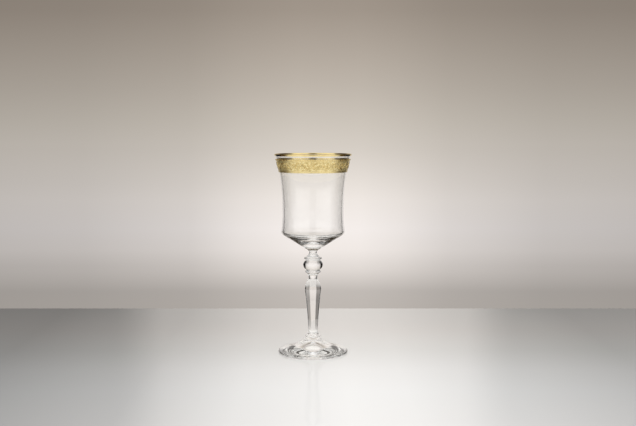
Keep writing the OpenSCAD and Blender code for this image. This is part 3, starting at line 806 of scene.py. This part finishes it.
def make_card():
    """Card behind the table that glows with painted light: brightness and tint up it, fall to the
    sides, edges.
    """
    bm = bmesh.new()
    bmesh.ops.create_grid(bm, x_segments=1, y_segments=1, size=0.5,
                          matrix=Matrix.Translation(CARD_PLACE) @ Matrix.Rotation(QUARTER, 4, "X")
                          @ Matrix.Diagonal((*CARD_SIZE, 1, 1)))
    paint, tree, bsdf = new_material("lit_card")
    fill(tree, (bsdf.inputs["Base Color"], bsdf.inputs["Specular IOR Level"]), (BLACK, 0.0))
    x, _, z = places(tree, "Object")
    seen, through, _ = rays(tree)
    # Painted light: the brightness peaks a little above the table and fades higher up, the tint
    # warms higher up, and it falls off to the sides
    up = ramp(tree, z, CARD_UP, [(-0.02, 0.515), (0.008, 0.535), (0.035, 0.74), (0.062, 0.88),
                                 (0.09, 0.92), (0.128, 0.87), (0.193, 0.675), (0.27, 0.525),
                                 (0.37, 0.355), (0.6, 0.2)])
    tint = ramp(tree, z, CARD_UP, [(-0.02, 1, 0.92, 0.85), (0.09, 1, 0.94, 0.908),
                                   (0.23, 1, 0.915, 0.81), (0.37, 1, 0.857, 0.725)])
    fall = ramp(tree, x, CARD_ACROSS, [(-0.6, 0.5), (-0.3, 0.6), (-0.161, 0.73), (-0.096, 0.885),
                                       (-0.02, 1.0), (0.06, 0.995), (0.111, 0.91), (0.174, 0.765),
                                       (0.3, 0.62), (0.6, 0.5)])
    pull = ramp(tree, z, CARD_UP, [(-0.02, 0.7), (0.01, 0.8), (0.04, 1.0), (0.09, 1.0),
                                   (0.15, 0.85), (0.2, 0.65), (0.6, 0.55)])
    # Painted shade and light: in reflections and through the glass the card is narrower, with dark
    # ends, and lighter at its foot
    ends = ramp(tree, x, CARD_ACROSS, [(-0.26, 0.0), (-0.24, 0.25), (-0.2, 1.0),
                                       (0.2, 1.0), (0.24, 0.25), (0.26, 0.0)])
    low_ends = ramp(tree, x, CARD_ACROSS, [(-0.22, 0.0), (-0.17, 0.35), (-0.11, 0.55),
                                           (-0.08, 1.0), (0.08, 1.0), (0.11, 0.72),
                                           (0.17, 0.48), (0.22, 0.0)])
    high = ramp(tree, z, CARD_UP, [(0.04, 0.0), (0.09, 1.0)])
    low_ends = blend(tree, "MIX", high, low_ends, ends)
    ends = blend(tree, "MIX", through, ends, low_ends)
    painted_foot_light = ramp(tree, z, CARD_UP, [(0.03, 0.75), (0.035, 0.0)])
    up = blend(tree, "MIX", seen, blend(tree, "LIGHTEN", 1.0, up, painted_foot_light), up)
    tone = blend(tree, "MULTIPLY", 1.0, blend(tree, "MULTIPLY", 1.0, up, tint),
                 blend(tree, "MIX", pull, WHITE, fall))
    tone = blend(tree, "MULTIPLY", 1.0, tone, blend(tree, "MIX", seen, ends, WHITE))
    # Painted light: the card glows brighter through the glass
    strength = maths(tree, "ADD", maths(tree, "MULTIPLY", through, THROUGH_GAIN), 1.0)
    fill(tree, (bsdf.inputs["Emission Color"], bsdf.inputs["Emission Strength"]),
         (tone, strength))
    # See-through from behind, so that the glass can be looked at from all sides
    back = node(tree, "ShaderNodeMixShader")
    link = tree.links.new
    link(node(tree, "ShaderNodeNewGeometry").outputs["Backfacing"], back.inputs["Fac"])
    link(bsdf.outputs["BSDF"], back.inputs[1])
    link(node(tree, "ShaderNodeBsdfTransparent").outputs["BSDF"], back.inputs[2])
    link(back.outputs["Shader"], tree.nodes["Material Output"].inputs["Surface"])
    card = finish_mesh(bm, "card", [paint])
    card.visible_diffuse = False


def softbox(name, azimuth, distance, height, size, power, tint):
    """Lamp at an azimuth from the camera's side, in degrees, turned to the glass."""
    lamp = bpy.data.lights.new(name, "AREA")
    lamp.shape = "RECTANGLE"
    lamp.size, lamp.size_y = size
    lamp.energy = power
    lamp.color = tint
    ob = bpy.data.objects.new(name, lamp)
    a = math.radians(azimuth)
    ob.location = (distance * math.sin(a), -distance * math.cos(a), height)
    ob.rotation_euler = (Vector(LAMP_AIM) - ob.location).to_track_quat("-Z", "Y").to_euler()
    ob.visible_camera = False
    ob.visible_glossy = False
    ob.visible_transmission = False
    bpy.context.collection.objects.link(ob)


def make_room():
    """The rest of the room: two wide soft lights, a bright ceiling, and dark between them."""
    world = bpy.data.worlds.new("studio")
    bpy.context.scene.world = world
    world.use_nodes = True
    tree = world.node_tree
    x, y, z = places(tree, "Generated")
    _, through, shine = rays(tree)
    azimuth = maths(tree, "MULTIPLY", maths(tree, "ARCTAN2", x, y), 180 / math.pi)
    lit_up = ramp(tree, z, HEIGHTS, [(-0.5, 0.5), (-0.1, 0.8), (0.1, 0.9), (0.5, 1.0),
                                     (0.8, 0.6), (1.0, 0.35)])
    left = [(-180, 0.05), (-171, 0.07), (-164, 0.8), (-150, 0.9), (-135, 1.1), (-108, 1.1),
            (-97, 0.15)]
    right = [(101, 0.15), (112, 1.1), (135, 1.1), (150, 0.95), (164, 0.85), (171, 0.07),
             (180, 0.05)]
    # The side behind the glass is dark, and brown in reflections
    lit_about = ramp(tree, azimuth, AZIMUTHS, left + [(-85, 0.035), (85, 0.035)] + right)
    shine_about = ramp(tree, azimuth, AZIMUTHS, left + [(-88, *BROWN), (88, *BROWN)] + right)
    about = blend(tree, "MIX", shine, lit_about, shine_about)
    # Through the glass, a dark belt runs round the camera's side
    front = maths(tree, "MULTIPLY", through, ramp(tree, y, DEPTHS, [(-0.1, 1.0), (0.0, 0.0)]))
    belt = ramp(tree, z, UPPER_HEIGHTS, [(0.08, 1.0), (0.14, 0.03), (0.28, 0.03), (0.36, 1.0)])
    about = blend(tree, "MULTIPLY", front, about, belt)
    # The ceiling lights the pieces less than it shows in them
    ceiling = ramp(tree, z, UPPER_HEIGHTS, [(0.5, 0.0), (0.75, 0.8), (1.0, 0.9)])
    bright_ceiling = ramp(tree, z, UPPER_HEIGHTS, [(0.6, 0.0), (0.75, 1.1), (1.0, 1.3)])
    diffuse = node(tree, "ShaderNodeLightPath").outputs["Is Diffuse Ray"]
    above = blend(tree, "MIX", diffuse, bright_ceiling, ceiling)
    studio = blend(tree, "LIGHTEN", 1.0, blend(tree, "MULTIPLY", 1.0, lit_up, about), above)
    tree.links.new(studio, tree.nodes["Background"].inputs["Color"])


def make_camera():
    """Camera at the photo's height and pitch."""
    data = bpy.data.cameras.new("camera")
    data.sensor_width = CAMERA_SENSOR
    data.lens = CAMERA_LENS
    cam = bpy.data.objects.new("camera", data)
    cam.location = CAMERA_PLACE
    cam.rotation_euler = (math.radians(90 - CAMERA_PITCH), 0, 0)
    bpy.context.collection.objects.link(cam)
    bpy.context.scene.camera = cam


make_table()
make_card()
softbox("left_box", -38, 1.1, 0.6, (0.9, 0.9), power=2.85, tint=WARM)
softbox("right_box", 46, 1.1, 0.6, (1.0, 0.9), power=3.25, tint=WARM)
softbox("top_box", 0, 0.3, 1.3, (1.2, 1.2), power=3.8, tint=PALE_WARM)
make_room()
make_camera()

scene = bpy.context.scene
scene.view_settings.view_transform = "Standard"
# Enough bounces for light that goes through many walls of glass
scene.cycles.max_bounces = 32
scene.cycles.transmission_bounces = 32
scene.cycles.glossy_bounces = 12
scene.cycles.transparent_max_bounces = 32
